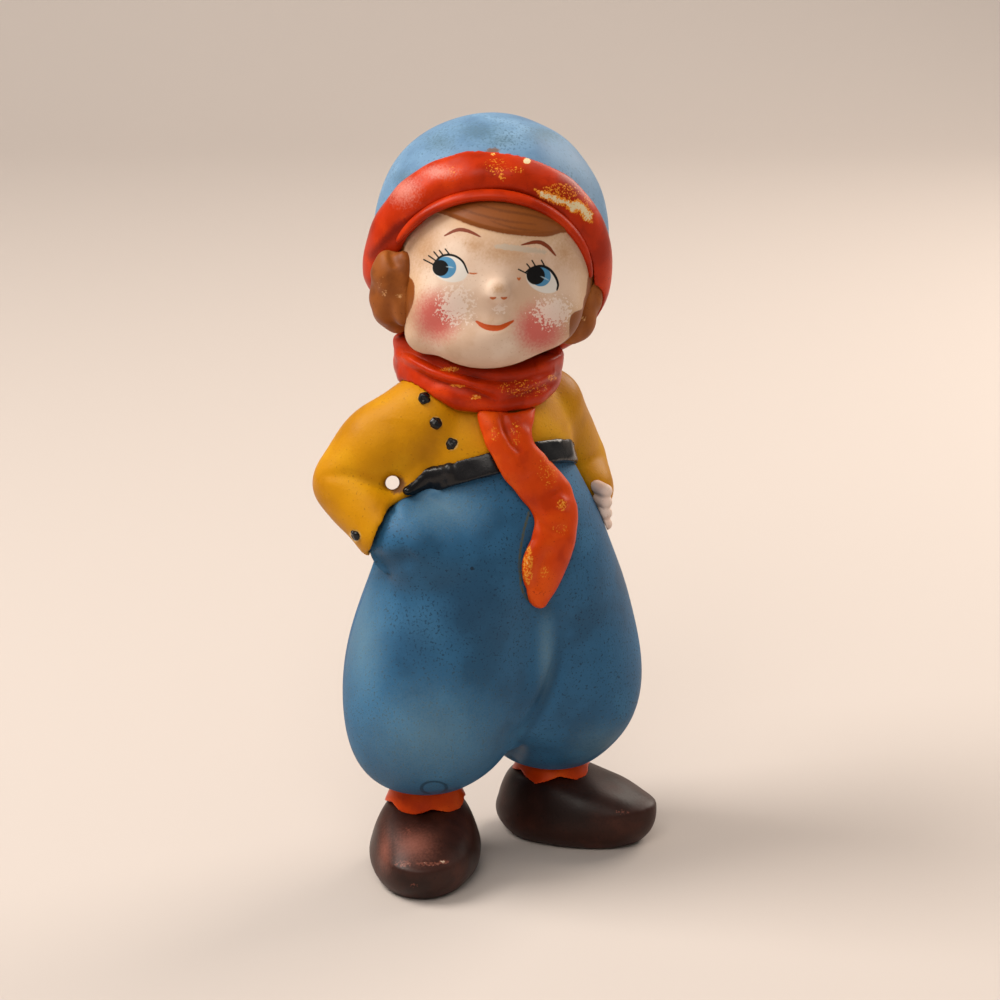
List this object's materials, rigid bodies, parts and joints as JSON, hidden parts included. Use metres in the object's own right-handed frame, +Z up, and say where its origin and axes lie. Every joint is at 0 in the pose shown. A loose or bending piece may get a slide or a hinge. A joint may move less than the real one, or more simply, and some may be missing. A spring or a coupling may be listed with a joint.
{
  "type": "chalkware figure",
  "caption": "Painted plaster figure of a child in a rolled-brim cap, scarf, jacket, baggy trousers and clogs, standing with hands at the hips.",
  "frame": {"origin": "middle of the figure's plan, on the ground under the clogs", "axes": "+Z up; the figure's body faces -Y; +X is the figure's left"},
  "size_m": [0.1108, 0.086, 0.2464],
  "materials": {
    "flesh_paint": "matte",
    "hair_paint": "matte",
    "blue_paint": "matte",
    "red_paint": "satin",
    "yellow_paint": "matte",
    "black_paint": "satin",
    "brown_paint": "satin",
    "iron_wire": "matte"
  },
  "bodies": {
    "root": {"head": "flesh_paint", "left_hand": "flesh_paint", "hair_fringe": "hair_paint", "right_hair_lock": "hair_paint", "left_hair_lock": "hair_paint", "cap_crown": "blue_paint", "trousers": "blue_paint", "cap_brim": "red_paint", "cap_band": "red_paint", "scarf_upper_fold": "red_paint", "scarf_lower_fold": "red_paint", "scarf_tail": "red_paint", "right_sock": "red_paint", "left_sock": "red_paint", "jacket_body": "yellow_paint", "right_sleeve": "yellow_paint", "left_sleeve": "yellow_paint", "belt": "black_paint", "jacket_buttons": "black_paint", "right_clog": "brown_paint", "left_clog": "brown_paint", "right_leg_wire": "iron_wire", "left_leg_wire": "iron_wire"}
  },
  "joints": []
}
